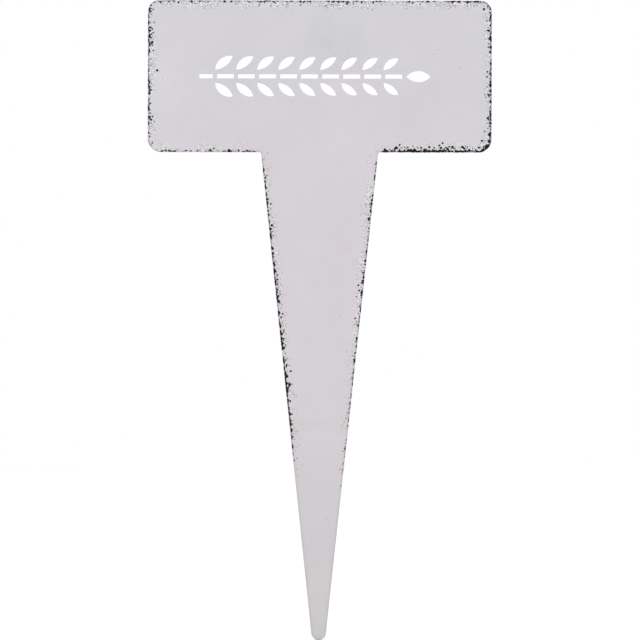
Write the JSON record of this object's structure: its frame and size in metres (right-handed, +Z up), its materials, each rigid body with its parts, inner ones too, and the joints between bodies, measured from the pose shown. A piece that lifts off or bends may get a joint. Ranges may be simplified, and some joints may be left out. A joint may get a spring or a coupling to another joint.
{
  "type": "plant label stake",
  "caption": "Flat steel plant label with a wide rectangular head on a long tapering blade, pierced with a herb sprig, to push into soil.",
  "frame": {"origin": "the tip of the blade, in the middle of its width and of the sheet's thickness", "axes": "+Z up along the blade to the top edge of the head, -Y out of the front face, +X to the right as the front is read"},
  "size_m": [0.0998, 0.001, 0.1858],
  "materials": {
    "top_coat": "matt pale lilac-grey top coat with a faint orange peel, chipped through to the base coat along the outer edges",
    "base_coat": "satin black base coat on sheet steel, seen where the top coat is chipped away"
  },
  "bodies": {
    "root": {"stake_plate": "top_coat"}
  },
  "joints": []
}
